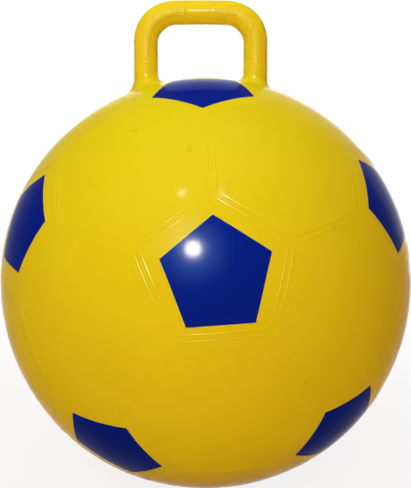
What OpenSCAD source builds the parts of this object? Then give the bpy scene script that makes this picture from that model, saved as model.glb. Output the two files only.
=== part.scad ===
// Hopper ball: an inflated moulded ball with a hand loop on its crown, printed
// pentagons and moulded seam lines laid out as on a football, and a flush air
// valve with a pull-out plug.
// Millimetres. +Z is up, the front is -Y, and the origin is the middle of the
// patch that the ball's own weight flattens on the floor.

/* [Ball] */
// Outside diameter of the inflated ball
ball_d = 450; // [350:5:650]
// Wall of the moulded skin
skin_wall = 1.2; // [0.8:0.1:3]
// Diameter of the patch flattened on the floor
patch_d = 66; // [40:1:90]

/* [Seams] */
// Distance between the two raised lines of a moulded seam
seam_gap = 6.6; // [4:0.2:12]
// Width of each raised line where it leaves the skin
line_w = 1.8; // [1:0.1:3]
// Height of each raised line over the skin
line_h = 0.5; // [0.2:0.05:0.8]
// Distance from a seam's corner at which its lines stop
line_stop = 4.5; // [4:0.5:20]

/* [Handle] */
// Distance between the centres of the two legs
handle_span = 120; // [100:1:160]
// Height of the bar's centre above the crown
handle_rise = 70.5; // [60:0.5:100]
// Sideways offset of the loop from the ball's axis
handle_shift = -5.5; // [-12:0.5:12]
// Outside diameter of the loop's tube
tube_d = 25.8; // [20:0.2:32]
// Wall of the loop's tube
tube_wall = 2.2; // [1.5:0.1:4]
// Centre-line radius of the two upper bends
bend_r = 33; // [24:0.5:45]
// Radius of the flare where a leg runs into the ball
flare_r = 8; // [4:0.5:14]
// Width of the raised grip strips
grip_w = 9; // [6:0.5:16]
// Height of the grip strips over the tube
grip_h = 0.8; // [0.3:0.1:1.5]
// Smooth stretch between the strips in the middle of the bar
grip_gap = 33; // [10:1:50]
// Length of each strip down its leg, below the bend
grip_drop = 23; // [8:1:26]

/* [Prints] */
// Corner radius of a printed pentagon, across its flat projection
print_r = 55; // [30:0.5:60]
// Thickness of the printed film
print_film = 0.2; // [0.1:0.05:0.5]
// Turn of the whole football layout about X, Y and Z, in degrees
pattern_turn = [-9, -3.8, 3.7]; // [-15:0.1:15]

/* [Valve] */
// Diameter of the plug's head
head_d = 20; // [14:0.5:30]
// Thickness of the plug's head at its edge
head_h = 2.4; // [1.6:0.1:4]
// Bore that the plug's stem seals
bore_d = 9; // [6:0.5:12]
// Length of the plug's stem
stem_l = 20; // [14:1:30]
// Width of the seat's face around the plug's head
seat_rim = 4; // [2:0.5:8]
// Reach of the seat's flange under the skin
flange_rim = 8; // [4:0.5:14]
// Thickness of the seat's flange and floor
flange_h = 2; // [1:0.1:4]
// Wall of the seat's sleeve
sleeve_wall = 3; // [1.5:0.1:5]
// Length of the seat's sleeve
sleeve_l = 14; // [8:1:24]

/* [Hidden] */
$fn = 96;
dome_fn = 360;     // smoothness of the ball where it shapes a small piece
overrun = 5;       // how far a cut runs past the solid it cuts
weld_gap = 0.05;   // bond line between curved faces that are moulded together
print_gap = 0.15;  // lift of the printed film off the skin
fit_gap = 0.05;    // radial clearance of the plug's stem in its bore
head_gap = 0.3;    // radial clearance around the plug's head
hole_gap = 0.1;    // radial clearance of the seat in the skin's hole
flare_lip = 0.6;   // edge thickness of a flare at its rim
groove_r = 0.7;    // radius of the round grooves between the stem's sealing ribs
groove_count = 3;
tip_l = 4;         // length of the stem's lead-in
tip_taper = 1.3;   // how much smaller the stem's end is, in radius
notch_r = 2.6;     // radius of the fingernail notch in the head's edge
notch_h = 1.2;     // depth of that notch
sides = [-1, 1];

// Ball
ball_r = ball_d / 2;
inner_r = ball_r - skin_wall;
centre_z = sqrt(ball_r ^ 2 - (patch_d / 2) ^ 2);

// Handle, measured from the ball's centre
tube_r = tube_d / 2;
tube_bore_r = tube_r - tube_wall;
bar_z = ball_r + handle_rise;
bend_z = bar_z - bend_r;
bar_l = handle_span - 2 * bend_r;
leg_reach = handle_span / 2 + abs(handle_shift) + tube_r + flare_r;
leg_base_z = sqrt(ball_r ^ 2 - leg_reach ^ 2) - overrun;  // where a leg starts, inside the ball
function leg_x(side) = handle_shift + side * handle_span / 2;
function leg_tilt(side) = asin(leg_x(side) / ball_r);
function flare_base_r(side) =
    tube_r / cos(leg_tilt(side)) + flare_r * (1 - tan(abs(leg_tilt(side))));

// Football layout: one print faces front, five lean round it, and six oppose them behind
ring_lean = atan(2);
ring_step = 360 / 5;
hexagon_lean = acos(sqrt((5 + 2 * sqrt(5)) / 15));  // pentagon centre to hexagon centre
neighbour_limit = 90;  // neighbours lie about 63 degrees apart, and others 117 or more
print_names = [
    "print_front", "print_top", "print_right",
    "print_lower_right", "print_lower_left", "print_left",
    "print_back", "print_bottom", "print_rear_right",
    "print_rear_upper_right", "print_rear_upper_left", "print_rear_left"
];
all_prints = [0 : len(print_names) - 1];
// How far each print has wandered from the ideal layout, in degrees about its own X, Y and Z
print_drifts = [
    [0, -0.3, -0.2], [-1.1, -1.8, -4.9], [-0.8, 0.7, -1.9],
    [1, 0.5, 4.4], [-0.2, 1.1, -0.9], [1.2, -2.5, 5],
    [0, 0, 0], [-3.5, 0, 0], [0.6, 0.4, -1],
    [-0.5, 0.8, 1.2], [0.4, -0.6, -1.5], [0.8, 0.5, 1]
];

// Turns as matrices, so that the seams can follow the prints
function unit(v) = v / norm(v);
function turn_x(a) = [[1, 0, 0], [0, cos(a), -sin(a)], [0, sin(a), cos(a)]];
function turn_y(a) = [[cos(a), 0, sin(a)], [0, 1, 0], [-sin(a), 0, cos(a)]];
function turn_z(a) = [[cos(a), -sin(a), 0], [sin(a), cos(a), 0], [0, 0, 1]];
function turn(v) = turn_z(v.z) * turn_y(v.y) * turn_x(v.x);
// Turns +Z to the front or back of the layout
function layout_turn(behind) = turn(pattern_turn) * turn_x(90) * turn_x(behind ? 180 : 0);
function ring_turn(place) = place == 0 ? turn_x(0)
    : turn_z(-ring_step * (place - 1)) * turn_x(-ring_lean) * turn_z(180);
// Turns +Z to the middle of print i, and +Y to one of its corners
function print_turn(i) = layout_turn(i >= 6) * ring_turn(i % 6) * turn(print_drifts[i]);
// Turns +Z to the middle of the six-sided panel above the back print
valve_turn = layout_turn(true) * turn_x(hexagon_lean);

// Moulded seams: five ring each print, and one joins each pair of neighbours
print_axes = [for (i = all_prints) print_turn(i) * [0, 0, 1]];
seam_corner_share = 1 / 3;  // where a seam's corner lies between two neighbours
function are_near(i, j) = i != j && acos(print_axes[i] * print_axes[j]) < neighbour_limit;
function seam_corner(i, j) =
    unit(print_axes[i] * (1 - seam_corner_share) + print_axes[j] * seam_corner_share);
joining_seams = [
    for (i = all_prints) for (j = all_prints)
        if (i < j && are_near(i, j)) [seam_corner(i, j), seam_corner(j, i)]
];
ringing_seams = [
    for (i = all_prints) for (j = all_prints) for (k = all_prints)
        if (j < k && are_near(i, j) && are_near(i, k) && are_near(j, k)) [seam_corner(i, j), seam_corner(i, k)]
];
line_r = ((line_w / 2) ^ 2 + line_h ^ 2) / (2 * line_h);  // round of a raised line
line_track_r = sqrt(ball_r ^ 2 - (seam_gap / 2) ^ 2) + line_h - line_r;
line_stop_angle = line_stop / ball_r * 180 / PI;

// Valve, measured from the ball's centre along the valve's own axis
head_r = head_d / 2;
bore_r = bore_d / 2;
stem_r = bore_r - fit_gap;
seat_r = head_r + head_gap + seat_rim;
flange_r = seat_r + flange_rim;
head_z = sqrt(ball_r ^ 2 - head_r ^ 2) - head_h;
flange_z = min(head_z, sqrt(inner_r ^ 2 - flange_r ^ 2)) - flange_h;

skin_colour = "#e8c818";
ink_colour = "#16309a";
plug_colour = "#f2f0ea";

// Places

module at_centre() {
    translate([0, 0, centre_z]) children();
}

module turned(m) {
    multmatrix([concat(m[0], 0), concat(m[1], 0), concat(m[2], 0), [0, 0, 0, 1]]) children();
}

// A ball whose surface starts to the side of the legs and the valve
module round_ball(r) {
    rotate([0, 0, 45]) sphere(r = r);
}

// A ball cut finely enough to shape a small piece on its +Z side
module dome(r) {
    rotate([0, 90, 0]) sphere(r = r, $fn = dome_fn);
}

module floor_block(top_z) {
    translate([-ball_d, -ball_d, top_z - ball_d]) cube([2 * ball_d, 2 * ball_d, ball_d]);
}

// Ball skin

// Both raised lines of one seam, which runs over the skin from one direction to another
module seam_lines(from, to) {
    across = unit(cross(from, to));
    along = cross(across, from);
    turned([[from.x, along.x, across.x], [from.y, along.y, across.y], [from.z, along.z, across.z]])
        rotate([0, 0, line_stop_angle])
            rotate_extrude(angle = acos(from * to) - 2 * line_stop_angle)
                for (side = sides) translate([line_track_r, side * seam_gap / 2]) circle(r = line_r);
}

// Every seam, kept clear of the handle's flares
module all_seam_lines() {
    difference() {
        for (seam = concat(joining_seams, ringing_seams)) seam_lines(seam[0], seam[1]);
        for (side = sides)
            rotate([0, leg_tilt(side), 0]) cylinder(r = flare_base_r(side) + line_w, h = ball_d);
    }
}

module ball_skin() {
    color(skin_colour) difference() {
        at_centre() union() {
            round_ball(ball_r);
            all_seam_lines();
        }
        floor_block(0);
        difference() {
            at_centre() round_ball(inner_r);
            floor_block(skin_wall);
        }
        at_centre() {
            for (side = sides)
                translate([leg_x(side), 0, leg_base_z]) cylinder(r = tube_bore_r, h = ball_r);
            turned(valve_turn) translate([0, 0, flange_z]) cylinder(r = seat_r + hole_gap, h = ball_r);
        }
    }
}

// Handle loop

// A band across the tube, as wide as a grip strip, that stands proud at front and back
module grip_section() {
    intersection() {
        circle(r = tube_r + grip_h);
        square([grip_w, 2 * (tube_r + grip_h)], center = true);
    }
}

// A leg from its bend down, so that it meets the bend exactly
module leg_run(side, low_z) {
    translate([leg_x(side), 0, bend_z]) mirror([0, 0, 1]) linear_extrude(height = bend_z - low_z) children();
}

module bend_run(side) {
    translate([leg_x(side) - side * bend_r, 0, bend_z]) mirror([side < 0 ? 1 : 0, 0, 0])
        rotate([90, 0, 0]) rotate_extrude(angle = 90) translate([bend_r, 0]) children();
}

// A stretch of the bar, from one distance left or right of its middle to another
module bar_run(from, to) {
    translate([handle_shift + from, 0, bar_z]) rotate([0, 90, 0]) linear_extrude(height = to - from) children();
}

// The whole loop swept with one radius
module loop_sweep(r) {
    for (side = sides) {
        leg_run(side, leg_base_z) circle(r = r);
        bend_run(side) circle(r = r);
    }
    bar_run(-bar_l / 2, bar_l / 2) circle(r = r);
}

module grip_strips() {
    for (side = sides) {
        leg_run(side, bend_z - grip_drop) grip_section();
        bend_run(side) grip_section();
    }
    bar_run(-bar_l / 2, -grip_gap / 2) grip_section();
    bar_run(grip_gap / 2, bar_l / 2) grip_section();
}

// A hollow-sided collar square to the ball's skin, which a leg stands in
module leg_flare(side) {
    base_r = flare_base_r(side);
    rim_z = sqrt(ball_r ^ 2 - base_r ^ 2) - flare_lip;
    rotate([0, leg_tilt(side), 0]) translate([0, 0, rim_z]) rotate_extrude() difference() {
        translate([0, -flare_lip]) square([base_r, flare_r + flare_lip]);
        translate([base_r, flare_r]) circle(r = flare_r);
    }
}

module handle_loop() {
    color(skin_colour) at_centre() difference() {
        union() {
            loop_sweep(tube_r);
            grip_strips();
            for (side = sides) leg_flare(side);
        }
        loop_sweep(tube_bore_r);
        round_ball(ball_r + weld_gap);
    }
}

// Valve

module valve_seat() {
    color(skin_colour) at_centre() turned(valve_turn) difference() {
        union() {
            intersection() {
                translate([0, 0, flange_z]) cylinder(r = seat_r, h = ball_r);
                dome(ball_r);
            }
            intersection() {
                translate([0, 0, flange_z]) cylinder(r = flange_r, h = ball_r);
                dome(inner_r - weld_gap);
            }
            translate([0, 0, flange_z - sleeve_l]) cylinder(r = bore_r + sleeve_wall, h = sleeve_l);
        }
        translate([0, 0, flange_z - sleeve_l - overrun]) cylinder(r = bore_r, h = ball_r);
        translate([0, 0, head_z]) cylinder(r = head_r + head_gap, h = ball_r);
    }
}

module plug_head() {
    difference() {
        intersection() {
            translate([0, 0, head_z]) cylinder(r = head_r, h = ball_r);
            dome(ball_r);
        }
        translate([0, -head_r, head_z + head_h - notch_h]) cylinder(r = notch_r, h = ball_r);
    }
}

module plug_stem() {
    difference() {
        translate([0, 0, head_z - stem_l + tip_l]) cylinder(r = stem_r, h = stem_l - tip_l);
        for (i = [1 : groove_count])
            translate([0, 0, head_z - i * (stem_l - tip_l) / (groove_count + 1)])
                rotate_extrude() translate([stem_r, 0]) circle(r = groove_r);
    }
    translate([0, 0, head_z - stem_l]) cylinder(r1 = stem_r - tip_taper, r2 = stem_r, h = tip_l);
}

module valve_plug() {
    color(plug_colour) at_centre() turned(valve_turn) {
        plug_head();
        plug_stem();
    }
}

// Prints

module print_patch(i) {
    color(ink_colour) at_centre() turned(print_turn(i)) intersection() {
        difference() {
            dome(ball_r + print_gap + print_film);
            dome(ball_r + print_gap);
        }
        linear_extrude(height = ball_d) rotate([0, 0, 90]) circle(r = print_r, $fn = 5);
    }
}

ball_skin();
handle_loop();
valve_seat();
valve_plug();
for (i = all_prints)
    print_patch(i);
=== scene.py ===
import bpy
import math
from mathutils import Matrix, Vector


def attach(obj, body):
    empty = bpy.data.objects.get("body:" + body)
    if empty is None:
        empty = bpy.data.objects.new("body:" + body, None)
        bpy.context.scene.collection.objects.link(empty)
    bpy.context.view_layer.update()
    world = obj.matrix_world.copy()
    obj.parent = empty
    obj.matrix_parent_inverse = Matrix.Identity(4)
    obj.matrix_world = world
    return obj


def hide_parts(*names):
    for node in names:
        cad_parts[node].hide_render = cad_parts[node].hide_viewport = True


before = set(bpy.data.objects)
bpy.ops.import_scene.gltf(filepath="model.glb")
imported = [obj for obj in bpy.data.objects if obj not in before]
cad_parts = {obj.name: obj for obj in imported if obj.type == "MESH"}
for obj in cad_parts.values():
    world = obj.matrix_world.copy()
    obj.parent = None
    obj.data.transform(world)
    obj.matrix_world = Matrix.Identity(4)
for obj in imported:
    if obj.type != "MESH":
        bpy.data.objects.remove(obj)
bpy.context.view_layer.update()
scene = bpy.context.scene
near = 0.00001  # places closer than this count as the same
print("frame loaded")


def clearSelection():
    if bpy.context.object and bpy.context.object.mode != "OBJECT":
        bpy.ops.object.mode_set(mode="OBJECT")
    bpy.ops.object.select_all(action="DESELECT")


def makeActive(obj):
    clearSelection()
    obj.select_set(True)
    bpy.context.view_layer.objects.active = obj


def startEdit(obj, mode="VERT"):
    makeActive(obj)
    bpy.ops.object.mode_set(mode="EDIT")
    bpy.ops.mesh.select_mode(type=mode)


# nothing selected in the mesh, and out of edit mode, so that code can select
def startPick(mode):
    bpy.ops.object.mode_set(mode="EDIT")
    bpy.ops.mesh.select_mode(type=mode)
    bpy.ops.mesh.select_all(action="DESELECT")
    bpy.ops.object.mode_set(mode="OBJECT")


# select the corners that pass a test on their place, and stay in edit mode
def pickVerts(obj, test):
    startPick("VERT")
    for vert in obj.data.vertices:
        vert.select = test(vert.co)
    bpy.ops.object.mode_set(mode="EDIT")


# the same for edges, by their two ends
def pickEdges(obj, test):
    startPick("EDGE")
    places = [vert.co for vert in obj.data.vertices]
    for edge in obj.data.edges:
        edge.select = test(places[edge.vertices[0]], places[edge.vertices[1]])
    bpy.ops.object.mode_set(mode="EDIT")


def extrudeBy(offset):
    bpy.ops.mesh.extrude_region_move(TRANSFORM_OT_translate={"value": offset})


# a ring of corners to pull a piece from, all selected in edit mode
def startRing(name, sides, radius, place):
    clearSelection()
    bpy.ops.mesh.primitive_circle_add(vertices=sides, radius=radius, location=place)
    piece = bpy.context.object
    piece.name = name
    bpy.ops.object.transform_apply(location=True, rotation=True, scale=True)
    startEdit(piece)
    bpy.ops.mesh.select_all(action="SELECT")
    return piece


def outwardNormals(obj, angle):
    startEdit(obj)
    bpy.ops.mesh.select_all(action="SELECT")
    bpy.ops.mesh.normals_make_consistent(inside=False)
    bpy.ops.object.mode_set(mode="OBJECT")
    bpy.ops.object.shade_smooth_by_angle(angle=math.radians(angle))


def smoothStep(low, high, value):
    t = min(max((value - low) / (high - low), 0.0), 1.0)
    return t * t * (3 - 2 * t)


def finishPiece(obj, body, node, mat):
    obj.data.materials.clear()
    obj.data.materials.append(mat)
    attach(obj, body)
    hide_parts(node)


# football layout in degrees, shared by the skin, the prints and the valve
layout = {
    "turn": (-9, -3.8, 3.7),
    "ringAngle": 63.435,  # between neighbouring prints
    "valveAngle": 37.3774,  # from a print to the middle of a panel beside it
    # how far each print is turned from its regular place
    "drifts": {
        "print_front": (0, -0.3, -0.2),
        "print_top": (-1.1, -1.8, -4.9),
        "print_right": (-0.8, 0.7, -1.9),
        "print_lower_right": (1, 0.5, 4.4),
        "print_lower_left": (-0.2, 1.1, -0.9),
        "print_left": (1.2, -2.5, 5),
        "print_back": (0, 0, 0),
        "print_bottom": (-3.5, 0, 0),
        "print_rear_right": (0.6, 0.4, -1),
        "print_rear_upper_right": (-0.5, 0.8, 1.2),
        "print_rear_upper_left": (0.4, -0.6, -1.5),
        "print_rear_left": (0.8, 0.5, 1),
    },
}
printCount = len(layout["drifts"])


def turned(x, y, z):
    aboutX = Matrix.Rotation(math.radians(x), 3, "X")
    aboutY = Matrix.Rotation(math.radians(y), 3, "Y")
    aboutZ = Matrix.Rotation(math.radians(z), 3, "Z")
    return aboutZ @ aboutY @ aboutX


def layoutTurn(behind):
    return turned(*layout["turn"]) @ turned(90, 0, 0) @ turned(180 if behind else 0, 0, 0)


# each half of the ball has one print in the middle and five round it
def printTurn(index):
    half = printCount // 2
    place = index % half
    ring = Matrix.Identity(3)
    if place > 0:
        ring = turned(0, 0, -72 * (place - 1)) @ turned(-layout["ringAngle"], 0, 0) @ turned(0, 0, 180)
    return layoutTurn(index >= half) @ ring @ turned(*list(layout["drifts"].values())[index])


up = Vector((0, 0, 1))
printAxes = [printTurn(index) @ up for index in range(printCount)]
valveTurn = layoutTurn(True) @ turned(layout["valveAngle"], 0, 0)
valveAxis = valveTurn @ up


# materials
def startMaterial(name):
    mat = bpy.data.materials.new(name)
    mat.use_nodes = True
    nodes = mat.node_tree.nodes
    coords = nodes.new("ShaderNodeTexCoord")
    return mat, nodes, mat.node_tree.links, nodes["Principled BSDF"], coords.outputs["Object"]


def addNoise(nodes, links, coords, scale, detail, roughness=0.5):
    noise = nodes.new("ShaderNodeTexNoise")
    noise.inputs["Scale"].default_value = scale
    noise.inputs["Detail"].default_value = detail
    noise.inputs["Roughness"].default_value = roughness
    links.new(coords, noise.inputs["Vector"])
    return noise.outputs["Fac"]


def addRange(nodes, links, value, fromRange, toLow, toHigh):
    node = nodes.new("ShaderNodeMapRange")
    node.inputs["From Min"].default_value = fromRange[0]
    node.inputs["From Max"].default_value = fromRange[1]
    node.inputs["To Min"].default_value = toLow
    node.inputs["To Max"].default_value = toHigh
    links.new(value, node.inputs["Value"])
    return node.outputs["Result"]


def addMix(nodes, links, factor, colourA, colourB):
    node = nodes.new("ShaderNodeMix")
    node.data_type = "RGBA"
    links.new(factor, node.inputs["Factor"])
    # sockets 6 and 7 and output 2 are the colour ones
    for socket, colour in ((node.inputs[6], colourA), (node.inputs[7], colourB)):
        if isinstance(colour, tuple):
            socket.default_value = (*colour, 1)
        else:
            links.new(colour, socket)
    return node.outputs[2]


def addValueMix(nodes, links, factor, valueA, valueB):
    node = nodes.new("ShaderNodeMix")
    links.new(factor, node.inputs["Factor"])
    for socket, value in ((node.inputs["A"], valueA), (node.inputs["B"], valueB)):
        if isinstance(value, float):
            socket.default_value = value
        else:
            links.new(value, socket)
    return node.outputs["Result"]


def addBump(nodes, links, height, strength, distance, below=None):
    node = nodes.new("ShaderNodeBump")
    node.inputs["Strength"].default_value = strength
    node.inputs["Distance"].default_value = distance
    links.new(height, node.inputs["Height"])
    if below:
        links.new(below, node.inputs["Normal"])
    return node.outputs["Normal"]


# what all the plastic finishes share
finish = {
    "cloudDetail": 3, "speckDetail": 4, "speckRough": 0.65, "scuffDetail": 8, "scuffRough": 0.72,
    "fleckDetail": 2, "noiseRange": (0.3, 0.7), "scuffRange": (0.60, 0.78), "fleckRange": (0.72, 0.77),
    "tiltRange": (0.1, 0.5), "waveDepth": 0.002, "grainDepth": 0.0002,
}


# a look is a set of colours and finishes; footLook is what it blends into near the hand loop's feet
def plasticMaterial(name, look, footLook=None):
    mat, nodes, links, shader, coords = startMaterial(name)
    cloud = addNoise(nodes, links, coords, look["cloudScale"], finish["cloudDetail"])
    speck = addNoise(nodes, links, coords, look["speckScale"], finish["speckDetail"], finish["speckRough"])
    scuff = addNoise(nodes, links, coords, look["scuffScale"], finish["scuffDetail"], finish["scuffRough"])
    spot = addNoise(nodes, links, coords, look["fleckScale"], finish["fleckDetail"])
    shade = addRange(nodes, links, cloud, finish["noiseRange"], 0, 1)
    worn = addRange(nodes, links, scuff, finish["scuffRange"], 0, look["scuff"])
    fleck = addRange(nodes, links, spot, finish["fleckRange"], 0, look["fleck"])
    colour = addMix(nodes, links, shade, look["colour"], look["deepColour"])
    colour = addMix(nodes, links, worn, colour, look["scuffColour"])
    colour = addMix(nodes, links, fleck, colour, look["fleckColour"])
    gloss = addRange(nodes, links, speck, finish["noiseRange"], *look["rough"])
    # less shine than real vinyl, and least at the rims: the white surround would wash the colours out
    tilt = nodes.new("ShaderNodeLayerWeight")
    tilt.inputs["Blend"].default_value = 0.5
    facing = tilt.outputs["Facing"]
    shine = addRange(nodes, links, facing, finish["tiltRange"], look["shine"], look["rimShine"])
    if footLook:
        split = nodes.new("ShaderNodeSeparateXYZ")
        links.new(coords, split.inputs["Vector"])
        foot = addRange(nodes, links, split.outputs["Z"], look["footRange"], 1, 0)
        footColour = addMix(nodes, links, shade, footLook["colour"], footLook["deepColour"])
        colour = addMix(nodes, links, foot, colour, footColour)
        footGloss = addRange(nodes, links, speck, finish["noiseRange"], *footLook["rough"])
        gloss = addValueMix(nodes, links, foot, gloss, footGloss)
        # the ribbed strips are duller than the tube
        grip = nodes.new("ShaderNodeAttribute")
        grip.attribute_name = "grip"
        gloss = addValueMix(nodes, links, grip.outputs["Fac"], gloss, look["gripRough"])
        shine = addValueMix(nodes, links, grip.outputs["Fac"], shine, look["gripShine"])
    links.new(colour, shader.inputs["Base Color"])
    links.new(gloss, shader.inputs["Roughness"])
    links.new(shine, shader.inputs["Specular IOR Level"])
    wave = addBump(nodes, links, cloud, look["wave"], finish["waveDepth"])
    grain = addBump(nodes, links, speck, look["grain"], finish["grainDepth"], wave)
    links.new(grain, shader.inputs["Normal"])
    return mat


skinLook = {
    "colour": (0.86, 0.765, 0.009), "deepColour": (0.84, 0.73, 0.008), "scuffColour": (0.78, 0.63, 0.012),
    "cloudScale": 7, "speckScale": 420, "scuffScale": 26, "scuff": 0.2,
    "fleckScale": 55, "fleck": 0.2, "fleckColour": (0.55, 0.38, 0.015),
    "rough": (0.10, 0.15), "wave": 0.02, "grain": 0.04, "shine": 0.03, "rimShine": 0.004,
}
handleLook = {
    "colour": (0.97, 0.83, 0.018), "deepColour": (0.95, 0.79, 0.016), "scuffColour": (0.88, 0.68, 0.02),
    "cloudScale": 18, "speckScale": 520, "scuffScale": 60, "scuff": 0.2,
    "fleckScale": 80, "fleck": 0.3, "fleckColour": (0.6, 0.42, 0.02),
    "rough": (0.16, 0.22), "wave": 0.02, "grain": 0.05, "shine": 0.028, "rimShine": 0.006,
    "footRange": (0.438, 0.462), "gripRough": 0.36, "gripShine": 0.02,
}
inkLook = {
    "colour": (0.0006, 0.0165, 0.33), "deepColour": (0.0005, 0.0135, 0.30),
    "scuffColour": (0.003, 0.018, 0.25),
    "cloudScale": 9, "speckScale": 480, "scuffScale": 40, "scuff": 0.25,
    "fleckScale": 55, "fleck": 0.3, "fleckColour": (0.004, 0.015, 0.14),
    "rough": (0.10, 0.15), "wave": 0.02, "grain": 0.04, "shine": 0.03, "rimShine": 0.004,
}
plugLook = {
    "colour": (0.80, 0.78, 0.70), "deepColour": (0.76, 0.73, 0.64), "scuffColour": (0.62, 0.58, 0.48),
    "cloudScale": 40, "speckScale": 900, "scuffScale": 150, "scuff": 0.3,
    "fleckScale": 200, "fleck": 0.2, "fleckColour": (0.5, 0.45, 0.36),
    "rough": (0.38, 0.48), "wave": 0.02, "grain": 0.08, "shine": 0.4, "rimShine": 0.25,
}
skinVinyl = plasticMaterial("skinVinyl", skinLook)
handleVinyl = plasticMaterial("handleVinyl", handleLook, skinLook)
printInk = plasticMaterial("printInk", inkLook)
plugPlastic = plasticMaterial("plugPlastic", plugLook)
print("materials made")


# ball: panels of a football with a pair of raised lines along every seam
skin = {
    "radius": 0.225, "patchWidth": 0.066, "patchSnap": 0.000001, "smoothAngle": 40,
    "seamGap": 0.0066, "lineWidth": 0.0015, "lineHeight": 0.00032, "lineSupport": 0.0004,
    "lineProfile": (0.8, 1, 0.8, 0), "lineEnds": (0.003, 0.010), "footClear": (0.036, 0.046),
    "frontRise": 0.0066, "ringStep": 0.009, "pentagonRings": 5, "hexagonRings": 7, "cuts": 15,
    "pocketRadius": 0.0144, "pocketDepth": 0.045,
}
# hand loop: here already, because the ball's lines stop at its feet
loop = {
    "span": 0.120, "shift": -0.0055, "barHeight": 0.2955, "tubeRadius": 0.0131, "bendRadius": 0.0315,
    "bendSwell": 0.0007, "barBow": 0.001, "sides": 72, "bendSteps": 90, "smoothAngle": 60,
    "flareOuter": (0.022, 0.011), "flareInner": 0.008, "flareSteps": 12, "rimOut": 0.003, "rimDip": 0.0001,
    "gripWidth": 0.009, "gripGap": 0.033, "gripDrop": 0.0245, "legTail": 0.012,
    "stripHeight": 0.0005, "stripEnd": 0.0012, "ribHeight": 0.00013, "ribCount": 25,
    "barCuts": 17, "gapCuts": 8, "dropCuts": 39, "tailCuts": 7, "tailShortest": 0.003,
}
ballCentre = Vector((0, 0, math.sqrt(skin["radius"] ** 2 - (skin["patchWidth"] / 2) ** 2)))
legPlaces = (loop["shift"] - loop["span"] / 2, loop["shift"] + loop["span"] / 2)

clearSelection()
bpy.ops.mesh.primitive_ico_sphere_add(subdivisions=1, radius=skin["radius"], location=(0, 0, 0))
ball = bpy.context.object
ball.name = "ballSkin"


# turn the twelve corners onto the middles of the prints
def cornerFrame(first, second):
    side = first.cross(second).normalized()
    return Matrix((first, side.cross(first), side)).transposed()


corners = [vert.co.normalized() for vert in ball.data.vertices]
nextCorner = max(corners[1:], key=lambda corner: corner.dot(corners[0]))
ontoLayout = cornerFrame(printAxes[0], printAxes[1]) @ cornerFrame(corners[0], nextCorner).transposed()
for vert in ball.data.vertices:
    aim = ontoLayout @ vert.co
    vert.co = max(printAxes, key=lambda axis: axis.dot(aim)) * skin["radius"]

# cut the corners off at a third of every edge: twelve pentagons and twenty hexagons
startEdit(ball)
bpy.ops.mesh.select_all(action="SELECT")
bpy.ops.mesh.bevel(offset_type="PERCENT", offset_pct=100 / 3, affect="VERTICES", segments=1)
bpy.ops.object.mode_set(mode="OBJECT")
for vert in ball.data.vertices:
    vert.co = vert.co.normalized() * skin["radius"]
# the seam under the front print sits a little high
frontCorners = sorted(ball.data.vertices, key=lambda vert: -vert.co.dot(printAxes[0]))[:5]
for vert in sorted(frontCorners, key=lambda vert: vert.co.z)[:2]:
    vert.co.z += skin["frontRise"]
    vert.co = vert.co.normalized() * skin["radius"]
seamCorners = [vert.co.copy() for vert in ball.data.vertices]
for edge in ball.data.edges:
    edge.use_seam = True
print("panels", len(ball.data.polygons))

# rings inside every panel: five for the raised line with a close one on each side, then wider ones
lineGroup = ball.vertex_groups.new(name="raisedLine")


def insetPanels(thickness, weight=0):
    bpy.ops.object.mode_set(mode="EDIT")
    bpy.ops.mesh.inset(thickness=thickness, use_individual=True, use_relative_offset=False)
    bpy.ops.mesh.mark_seam(clear=False)
    bpy.ops.object.mode_set(mode="OBJECT")
    lineGroup.add([vert.index for vert in ball.data.vertices if vert.select], weight, "REPLACE")


startEdit(ball, "FACE")
bpy.ops.mesh.select_all(action="SELECT")
insetPanels(skin["seamGap"] / 2 - skin["lineWidth"] / 2 - skin["lineSupport"])
insetPanels(skin["lineSupport"])
for weight in skin["lineProfile"]:
    insetPanels(skin["lineWidth"] / len(skin["lineProfile"]), weight)
insetPanels(skin["lineSupport"])
for step in range(skin["pentagonRings"]):
    insetPanels(skin["ringStep"])
for face in ball.data.polygons:
    face.select = face.select and len(face.vertices) == 6
for step in range(skin["hexagonRings"] - skin["pentagonRings"]):
    insetPanels(skin["ringStep"])

# cut every ring edge, so that the panels can be rounded, and fan out the middles
startPick("EDGE")
for edge in ball.data.edges:
    edge.select = edge.use_seam
bpy.ops.object.mode_set(mode="EDIT")
bpy.ops.mesh.subdivide(number_cuts=skin["cuts"], smoothness=0)
bpy.ops.mesh.select_all(action="SELECT")
bpy.ops.mesh.mark_seam(clear=True)
bpy.ops.mesh.select_mode(type="FACE")
bpy.ops.mesh.select_face_by_sides(number=4, type="GREATER", extend=False)
bpy.ops.mesh.poke()
bpy.ops.object.mode_set(mode="OBJECT")

# the lines fade out near the seam corners and near the loop's feet
for vert in ball.data.vertices:
    vert.co = vert.co.normalized() * skin["radius"]
    for member in vert.groups:
        toCorner = min((vert.co - corner).length for corner in seamCorners)
        fade = smoothStep(*skin["lineEnds"], toCorner)
        if vert.co.z > 0:
            toLeg = min(math.hypot(vert.co.x - place, vert.co.y) for place in legPlaces)
            fade *= smoothStep(*skin["footClear"], toLeg)
        member.weight *= fade
        vert.co *= 1 + member.weight * skin["lineHeight"] / skin["radius"]
ball.vertex_groups.clear()
print("seam lines raised,", len(ball.data.vertices), "corners")

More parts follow.
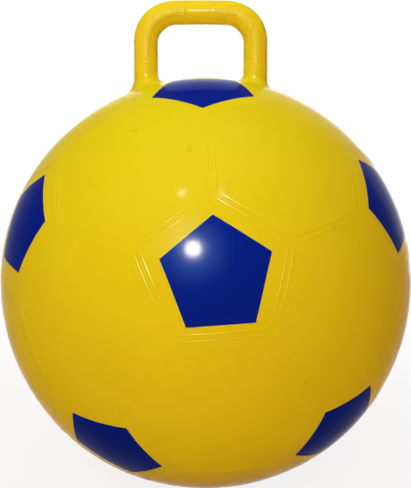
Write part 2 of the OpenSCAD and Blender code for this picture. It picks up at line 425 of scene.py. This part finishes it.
# pocket for the valve: the ring round the panel's middle becomes a circle, its wall goes in
neighbours = {}
for edge in ball.data.edges:
    one, other = edge.vertices
    neighbours.setdefault(one, []).append(other)
    neighbours.setdefault(other, []).append(one)
smallestFan = 5 * (skin["cuts"] + 1)
panelMiddles = [index for index, others in neighbours.items() if len(others) >= smallestFan]
valveMiddle = max(panelMiddles, key=lambda index: ball.data.vertices[index].co.dot(valveAxis))
rimHeight = math.sqrt(skin["radius"] ** 2 - skin["pocketRadius"] ** 2)
for index in neighbours[valveMiddle]:
    place = ball.data.vertices[index].co
    across = (place - valveAxis * place.dot(valveAxis)).normalized()
    ball.data.vertices[index].co = valveAxis * rimHeight + across * skin["pocketRadius"]
startPick("VERT")
ball.data.vertices[valveMiddle].select = True
bpy.ops.object.mode_set(mode="EDIT")
bpy.ops.mesh.delete(type="VERT")
bpy.ops.mesh.select_all(action="DESELECT")
bpy.ops.mesh.select_non_manifold()
extrudeBy(-valveAxis * skin["pocketDepth"])
bpy.ops.mesh.edge_face_add()

# onto the floor, with the flat patch that its weight presses
bpy.ops.object.mode_set(mode="OBJECT")
ball.data.transform(Matrix.Translation(ballCentre))
startEdit(ball)
bpy.ops.mesh.select_all(action="SELECT")
bpy.ops.mesh.bisect(plane_co=(0, 0, 0), plane_no=(0, 0, 1), threshold=skin["patchSnap"],
                    use_fill=True, clear_inner=True)
outwardNormals(ball, skin["smoothAngle"])
finishPiece(ball, "ball", "ball_skin", skinVinyl)
print("ball made,", len(ball.data.polygons), "faces")


# prints: one pentagon of ink, bent onto the ball, then copied
ink = {"radius": 0.055, "lift": 0.00012, "sink": 0.0005, "cuts": 11, "frontStretch": 1.07, "smoothAngle": 30}

clearSelection()
bpy.ops.mesh.primitive_circle_add(vertices=5, radius=ink["radius"], fill_type="TRIFAN", location=(0, 0, 0))
pentagon = bpy.context.object
# a corner towards +Y
firstCorner = max(pentagon.data.vertices, key=lambda vert: vert.co.length).co
pentagon.data.transform(Matrix.Rotation(math.atan2(firstCorner.x, firstCorner.y), 4, "Z"))
startEdit(pentagon)
bpy.ops.mesh.select_all(action="SELECT")
bpy.ops.mesh.subdivide(number_cuts=ink["cuts"])
bpy.ops.object.mode_set(mode="OBJECT")
inkRadius = skin["radius"] + ink["lift"]
for vert in pentagon.data.vertices:
    vert.co.z = math.sqrt(inkRadius ** 2 - vert.co.x ** 2 - vert.co.y ** 2)
bpy.ops.object.mode_set(mode="EDIT")
extrudeBy((0, 0, -ink["sink"]))
outwardNormals(pentagon, ink["smoothAngle"])
for index, name in enumerate(layout["drifts"]):
    film = pentagon.copy()
    film.data = pentagon.data.copy()
    film.name = "ink_" + name
    scene.collection.objects.link(film)
    # the front print is a little longer towards its lower edge
    if name == "print_front":
        for vert in film.data.vertices:
            reach = vert.co.length
            vert.co.y *= ink["frontStretch"] if vert.co.y < 0 else 1
            vert.co.length = reach
    film.data.transform(Matrix.Translation(ballCentre) @ printTurn(index).to_4x4())
    finishPiece(film, "ball", name, printInk)
bpy.data.objects.remove(pentagon)
print("prints made")


# hand loop: a ring spun and extruded along the loop
legLeft, legRight = legPlaces
barZ = ballCentre.z + loop["barHeight"]
bendZ = barZ - loop["bendRadius"]
legFoot = bendZ - loop["gripDrop"] - loop["legTail"]
bendLeft = Vector((legLeft + loop["bendRadius"], 0, bendZ))
bendRight = Vector((legRight - loop["bendRadius"], 0, bendZ))
barPiece = (bendRight.x - bendLeft.x - loop["gripGap"]) / 2


def spinBend(middle):
    bpy.ops.mesh.spin(steps=loop["bendSteps"], angle=-math.pi / 2, center=middle, axis=(0, 1, 0))


def pullLeg():
    for length in (loop["gripDrop"], loop["legTail"]):
        extrudeBy((0, 0, -length))


handle = startRing("handLoop", loop["sides"], loop["tubeRadius"], (legLeft, 0, bendZ))
spinBend(bendLeft)
for length in (barPiece, loop["gripGap"], barPiece):
    extrudeBy((length, 0, 0))
spinBend(bendRight)
pullLeg()
pickVerts(handle, lambda place: abs(place.z - bendZ) < near and place.x < loop["shift"])
pullLeg()


# the flare rolls a small ball along the leg and the skin at once
def flarePlace(legX, angle, step):
    outward = Vector((math.cos(angle), math.sin(angle), 0))
    side = -1 if legX == legLeft else 1
    outer = loop["flareOuter"][legPlaces.index(legX)]
    flare = loop["flareInner"] + (outer - loop["flareInner"]) * (0.5 + 0.5 * side * outward.x)
    reach = loop["tubeRadius"] + flare
    x = legX + reach * outward.x
    y = reach * outward.y
    middle = Vector((x, y, math.sqrt((skin["radius"] + flare) ** 2 - x * x - y * y)))
    part = min(step / loop["flareSteps"], 1)
    place = middle + (-outward).slerp(-middle.normalized(), part) * flare
    if step > loop["flareSteps"]:
        # the rim runs on a little along the skin and dips under it
        place = (place + outward * loop["rimOut"]).normalized() * (skin["radius"] - loop["rimDip"])
    return place + ballCentre


for legX in legPlaces:
    pickVerts(handle, lambda place: abs(place.z - legFoot) < near and abs(place.x - legX) < loop["span"] / 2)
    for step in range(loop["flareSteps"] + 2):
        if step > 0:
            extrudeBy((0, 0, 0))
        bpy.ops.object.mode_set(mode="OBJECT")
        for vert in handle.data.vertices:
            if vert.select:
                angle = math.atan2(vert.co.y, vert.co.x - legX)
                vert.co = flarePlace(legX, angle, step)
        bpy.ops.object.mode_set(mode="EDIT")
    bpy.ops.mesh.edge_face_add()


# cut the long straight faces into short rings
def runsAlong(axis, one, other):
    gap = one - other
    return all(abs(gap[way]) < near for way in range(3) if way != axis)


def cutStraight(axis, length, cuts):
    pickEdges(handle, lambda one, other: runsAlong(axis, one, other)
              and abs(abs(one[axis] - other[axis]) - length) < near)
    bpy.ops.mesh.subdivide(number_cuts=cuts)


cutStraight(0, barPiece, loop["barCuts"])
cutStraight(0, loop["gripGap"], loop["gapCuts"])
cutStraight(2, loop["gripDrop"], loop["dropCuts"])
# the stretch down to the flare has no one length
gripLow = bendZ - loop["gripDrop"]
pickEdges(handle, lambda one, other: runsAlong(2, one, other) and max(one.z, other.z) < gripLow + near
          and abs(one.z - other.z) > loop["tailShortest"])
bpy.ops.mesh.subdivide(number_cuts=loop["tailCuts"])
bpy.ops.object.mode_set(mode="OBJECT")

# strips of cross ribs on the front and the back of the tube
bendLength = loop["bendRadius"] * math.pi / 2
stripLength = barPiece + bendLength + loop["gripDrop"]
pitch = stripLength / loop["ribCount"]
grip = handle.data.attributes.new("grip", "FLOAT", "POINT")
for vert in handle.data.vertices:
    place = vert.co
    side = bendLeft if place.x < loop["shift"] else bendRight
    legX = legLeft if place.x < loop["shift"] else legRight
    outX = (side.x - place.x) * (1 if legX == legLeft else -1)
    if place.z < bendZ:
        spine = Vector((legX, 0, place.z))
        along = barPiece + bendLength + bendZ - place.z
    elif outX > 0:
        spine = side + Vector((place.x - side.x, 0, place.z - side.z)).normalized() * loop["bendRadius"]
        along = barPiece + loop["bendRadius"] * math.atan2(outX, place.z - side.z)
    else:
        spine = Vector((place.x, 0, barZ))
        along = barPiece + outX
    out = (place - spine).normalized()
    through = min(max((along - barPiece) / bendLength, 0), 1)
    vert.co += out * loop["bendSwell"] * math.sin(math.pi * through) ** 2
    if place.z > bendZ:
        vert.co.z += loop["barBow"] * math.cos(math.pi * (place.x - loop["shift"]) / loop["span"]) ** 2
    if along < -near or along > stripLength + near:
        continue
    across = loop["tubeRadius"] * math.sqrt(max(1 - out.y ** 2, 0))
    if across > loop["gripWidth"] / 2:
        continue
    ends = smoothStep(0, loop["stripEnd"], along) * smoothStep(0, loop["stripEnd"], stripLength - along)
    wave = 0.5 - 0.5 * math.cos(2 * math.pi * along / pitch)
    vert.co += out * ends * (loop["stripHeight"] + loop["ribHeight"] * wave)
    grip.data[vert.index].value = ends
outwardNormals(handle, loop["smoothAngle"])
finishPiece(handle, "ball", "handle_loop", handleVinyl)
print("hand loop made,", len(handle.data.polygons), "faces")


# valve: a bush in the skin and its push-in plug, both turned on the valve's axis
valve = {
    "headRadius": 0.010, "headHeight": 0.0024, "headGap": 0.0003, "headRings": (0.003, 0.0008),
    "ringOut": 0.0072, "ringIn": 0.0058, "ringSlope": 0.0004, "ringDepth": 0.0003,
    "boreRadius": 0.0045, "stemRadius": 0.00445, "stemLength": 0.020, "tipLength": 0.004, "tipTaper": 0.0013,
    "grooves": 3, "grooveRadius": 0.0007, "grooveStart": 0.003, "groovePitch": 0.0038,
    "seatRadius": 0.0143, "flangeRadius": 0.0223, "flangeHeight": 0.002, "sleeveWall": 0.003,
    "sleeveLength": 0.014, "chamfer": 0.0003, "sides": 96, "smoothAngle": 35,
    "notchRadius": 0.0026, "notchDepth": 0.0012, "notchSides": 48, "cutterHeight": 0.004,
}


def domeZ(radius):
    return math.sqrt(skin["radius"] ** 2 - radius ** 2)


# a point of a profile on the ball's curve, or a little below it
def onDome(radius, below=0):
    return radius, domeZ(radius) - below


# a ring pulled along a list of (radius, height) pairs
def turnProfile(name, profile):
    radius, height = profile[0]
    piece = startRing(name, valve["sides"], radius, (0, 0, height))
    for newRadius, newHeight in profile[1:]:
        extrudeBy((0, 0, newHeight - height))
        ratio = newRadius / radius
        bpy.ops.transform.resize(value=(ratio, ratio, 1), center_override=(0, 0, newHeight))
        radius, height = newRadius, newHeight
    return piece


def settleValvePiece(piece):
    bpy.ops.object.mode_set(mode="OBJECT")
    piece.data.transform(Matrix.Translation(ballCentre) @ valveTurn.to_4x4())
    outwardNormals(piece, valve["smoothAngle"])


chamfer = valve["chamfer"]
headZ = domeZ(valve["headRadius"]) - valve["headHeight"]
bore = valve["boreRadius"]
recess = valve["headRadius"] + valve["headGap"]
seatOut = valve["seatRadius"]
flangeOut = valve["flangeRadius"]
flangeTop = headZ - valve["flangeHeight"]
flangeLow = flangeTop - valve["flangeHeight"]
sleeveOut = bore + valve["sleeveWall"]
sleeveLow = headZ - valve["sleeveLength"]
seat = turnProfile("valveSeat", [
    (bore, sleeveLow), (bore, headZ - chamfer), (bore + chamfer, headZ),
    (recess, headZ), onDome(recess, chamfer), onDome(recess + chamfer),
    onDome(seatOut - chamfer), onDome(seatOut, chamfer), (seatOut, flangeTop),
    (flangeOut, flangeTop), (flangeOut, flangeLow),
    (sleeveOut, flangeLow), (sleeveOut, sleeveLow), (bore, sleeveLow),
])
bpy.ops.mesh.select_all(action="SELECT")
bpy.ops.mesh.remove_doubles(threshold=near)
settleValvePiece(seat)
finishPiece(seat, "ball", "valve_seat", skinVinyl)

stem = valve["stemRadius"]
tipZ = headZ - valve["stemLength"]
plugProfile = [(stem - valve["tipTaper"], tipZ), (stem, tipZ + valve["tipLength"])]
for groove in range(valve["grooves"]):
    grooveZ = tipZ + valve["tipLength"] + valve["grooveStart"] + groove * valve["groovePitch"]
    for degrees in range(-90, 91, 30):
        tilt = math.radians(degrees)
        plugProfile.append((stem - valve["grooveRadius"] * math.cos(tilt),
                            grooveZ + valve["grooveRadius"] * math.sin(tilt)))
headOut = valve["headRadius"]
plugProfile += [
    (stem, headZ), (headOut - chamfer, headZ), (headOut, headZ + chamfer),
    onDome(headOut, chamfer), onDome(headOut - chamfer),
    # a shallow ring in the head
    onDome(valve["ringOut"]), onDome(valve["ringOut"] - valve["ringSlope"], valve["ringDepth"]),
    onDome(valve["ringIn"] + valve["ringSlope"], valve["ringDepth"]), onDome(valve["ringIn"]),
    *[onDome(radius) for radius in valve["headRings"]],
]
plug = turnProfile("valvePlug", plugProfile)
bpy.ops.mesh.edge_face_add()
pickVerts(plug, lambda place: abs(place.z - tipZ) < near)
bpy.ops.mesh.edge_face_add()
outwardNormals(plug, valve["smoothAngle"])

# a notch for a fingernail at the head's edge
clearSelection()
notchZ = domeZ(headOut) - valve["notchDepth"] + valve["cutterHeight"] / 2
bpy.ops.mesh.primitive_cylinder_add(vertices=valve["notchSides"], radius=valve["notchRadius"],
                                    depth=valve["cutterHeight"], location=(0, -headOut, notchZ))
cutter = bpy.context.object
makeActive(plug)
notch = plug.modifiers.new("notch", "BOOLEAN")
notch.object = cutter
notch.operation = "DIFFERENCE"
notch.solver = "EXACT"
bpy.ops.object.modifier_apply(modifier=notch.name)
bpy.data.objects.remove(cutter)
settleValvePiece(plug)
finishPiece(plug, "plug", "valve_plug", plugPlastic)
print("valve made")


# stage: a pale floor, a white surround and soft lamps
stage = {
    "floorSize": 30, "floorColour": (0.86, 0.7, 0.6), "floorRough": 0.9,
    "whiteNear": 0.86, "whiteRange": (0.35, 1.1), "whiteLevel": 1, "ambient": (0.24, 0.057, 0.03),
    "lamps": {
        "flashLamp": {"place": (-0.188, -1.62, 0.915), "size": 0.4, "power": 10, "colour": (1, 0.87, 0.8)},
        "softLamp": {"place": (0.0, -0.4, 2.4), "size": 2.2, "power": 18.5, "colour": (0.78, 1, 1)},
        "sideLamp": {"place": (-0.9, -1.0, 1.7), "size": 1.5, "power": 6, "colour": (0.78, 1, 1)},
        "backLamp": {"place": (0.5, 1.9, 0.9), "size": 2.6, "power": 12, "colour": (1, 1, 1)},
    },
    # these only draw highlights
    "glints": {
        "flashSpot": {"place": (-0.182, -1.575, 0.894), "size": 0.22, "power": 70, "colour": (1, 1, 1)},
        "glowNear": {"place": (-0.188, -1.62, 0.915), "size": 0.5, "power": 11, "colour": (0.3, 0.8, 1)},
        "glowMiddle": {"place": (-0.191, -1.645, 0.925), "size": 0.85, "power": 18, "colour": (0.3, 0.8, 1)},
        "glowFar": {"place": (-0.194, -1.666, 0.935), "size": 1.2, "power": 22, "colour": (0.3, 0.8, 1)},
        "glintLeft": {"place": (-0.415, -1.302, 1.95), "size": 0.07, "power": 5, "colour": (1, 1, 1)},
        "glintRight": {"place": (0.285, -1.327, 1.958), "size": 0.07, "power": 6, "colour": (1, 1, 1)},
    },
}
plainWhite = (1, 1, 1, 1)


# 1 for the rays that see the white surround, 0 for those that only bring light
def backdropRays(nodes, links):
    path = nodes.new("ShaderNodeLightPath")
    total = path.outputs["Is Camera Ray"]
    for name in ("Is Glossy Ray", "Is Transmission Ray"):
        add = nodes.new("ShaderNodeMath")
        add.operation = "ADD"
        add.use_clamp = True
        links.new(total, add.inputs[0])
        links.new(path.outputs[name], add.inputs[1])
        total = add.outputs["Value"]
    return total


def mixShaders(nodes, links, factor, first, second, target):
    mix = nodes.new("ShaderNodeMixShader")
    links.new(factor, mix.inputs["Fac"])
    links.new(first, mix.inputs[1])
    links.new(second, mix.inputs[2])
    links.new(mix.outputs["Shader"], target)


clearSelection()
bpy.ops.mesh.primitive_plane_add(size=stage["floorSize"], location=(0, 0, 0))
floor = bpy.context.object
floor.name = "floor"
floorMat, nodes, links, lit, floorCoords = startMaterial("floorPale")
lit.inputs["Base Color"].default_value = (*stage["floorColour"], 1)
lit.inputs["Roughness"].default_value = stage["floorRough"]
lit.inputs["Specular IOR Level"].default_value = 0
whiteFloor = nodes.new("ShaderNodeEmission")
whiteFloor.inputs["Color"].default_value = plainWhite
whiteFloor.inputs["Strength"].default_value = stage["whiteLevel"]
# the lit floor shows near the ball, so that its shadow stays, and fades to plain white
fromBall = nodes.new("ShaderNodeVectorMath")
fromBall.operation = "LENGTH"
links.new(floorCoords, fromBall.inputs[0])
white = addRange(nodes, links, fromBall.outputs["Value"], stage["whiteRange"], stage["whiteNear"], 1)
share = nodes.new("ShaderNodeMath")
share.operation = "MULTIPLY"
links.new(backdropRays(nodes, links), share.inputs[0])
links.new(white, share.inputs[1])
mixShaders(nodes, links, share.outputs["Value"], lit.outputs["BSDF"], whiteFloor.outputs["Emission"],
           nodes["Material Output"].inputs["Surface"])
floor.data.materials.append(floorMat)

world = bpy.data.worlds.new("whiteSurround")
world.use_nodes = True
scene.world = world
nodes = world.node_tree.nodes
links = world.node_tree.links
plain = nodes["Background"]
plain.inputs["Color"].default_value = (*stage["ambient"], 1)
plain.inputs["Strength"].default_value = 1
seen = nodes.new("ShaderNodeBackground")
seen.inputs["Color"].default_value = plainWhite
seen.inputs["Strength"].default_value = stage["whiteLevel"]
mixShaders(nodes, links, backdropRays(nodes, links), plain.outputs["Background"], seen.outputs["Background"],
           nodes["World Output"].inputs["Surface"])

for name, lamp in (*stage["lamps"].items(), *stage["glints"].items()):
    data = bpy.data.lights.new(name, "AREA")
    data.shape = "DISK"
    data.size = lamp["size"]
    data.energy = lamp["power"]
    data.color = lamp["colour"]
    obj = bpy.data.objects.new(name, data)
    scene.collection.objects.link(obj)
    obj.location = lamp["place"]
    obj.rotation_euler = (ballCentre - Vector(lamp["place"])).to_track_quat("-Z", "Y").to_euler()
    obj.visible_diffuse = name in stage["lamps"]
print("stage made")

# camera
shot = {"distance": 1.2375, "elevation": 7, "lens": 81.74, "pitch": 84.959, "yaw": 0.013}
camData = bpy.data.cameras.new("camera")
camData.lens = shot["lens"]
camera = bpy.data.objects.new("camera", camData)
scene.collection.objects.link(camera)
rise = math.radians(shot["elevation"])
camera.location = ballCentre + Vector((0, -math.cos(rise), math.sin(rise))) * shot["distance"]
camera.rotation_euler = (math.radians(shot["pitch"]), 0, math.radians(shot["yaw"]))
scene.camera = camera
scene.view_settings.view_transform = "Standard"
